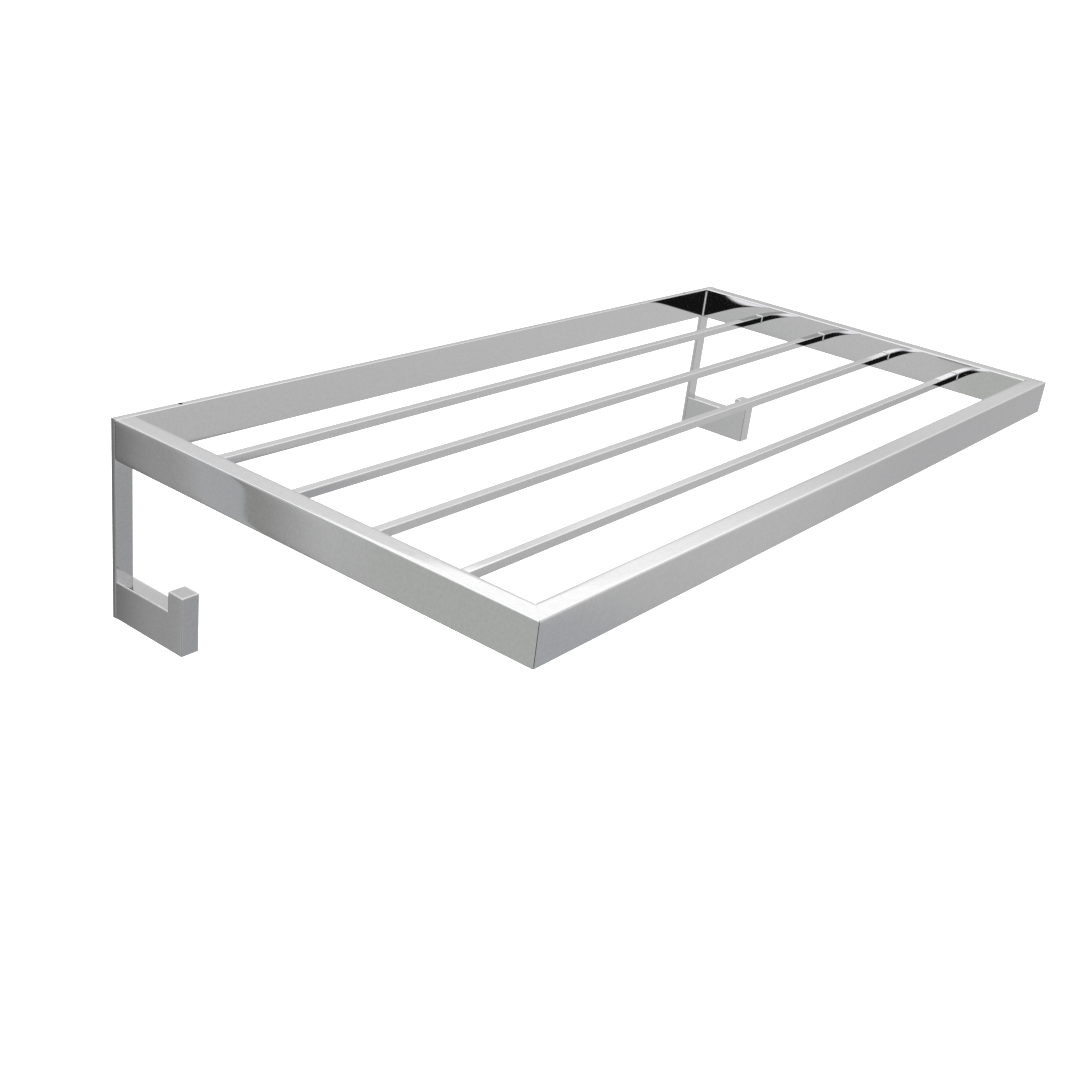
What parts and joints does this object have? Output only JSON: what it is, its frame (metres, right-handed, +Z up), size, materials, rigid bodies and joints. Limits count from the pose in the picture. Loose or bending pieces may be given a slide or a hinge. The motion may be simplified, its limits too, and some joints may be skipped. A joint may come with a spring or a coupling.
{
  "type": "towel rack",
  "caption": "Wall-mounted towel rack: a mitred frame of flat rectangular tube with slim rods across it, on wall straps that end in upturned robe hooks.",
  "frame": {"origin": "on the wall plane, midway between the wall screws, at half the height of the rails", "axes": "+Z up, +X to the right as seen from the room, +Y into the wall, so the rack stands out along -Y"},
  "size_m": [0.61, 0.3, 0.122],
  "materials": {
    "chrome": "polished chrome plate on brass",
    "raw_brass": "sawn and milled, unplated",
    "stainless": "plain turned stainless steel",
    "black_oxide_steel": "black oxide on hardened steel",
    "zinc_plated_steel": "bright zinc plate on pressed steel"
  },
  "bodies": {
    "root": {"front_rail": "chrome", "side_rail_left": "chrome", "side_rail_right": "chrome", "rear_channel": "chrome", "rod_1": "chrome", "rod_2": "chrome", "rod_3": "chrome", "rod_4": "chrome", "strap_left": "chrome", "strap_right": "chrome", "hook_left": "chrome", "hook_right": "chrome", "corner_key_left": "raw_brass", "corner_key_right": "raw_brass", "root_block_left": "raw_brass", "root_block_right": "raw_brass", "root_screws": "stainless", "hook_screws": "stainless", "grub_screws": "black_oxide_steel", "wall_plate_left": "zinc_plated_steel", "wall_plate_right": "zinc_plated_steel"}
  },
  "joints": []
}
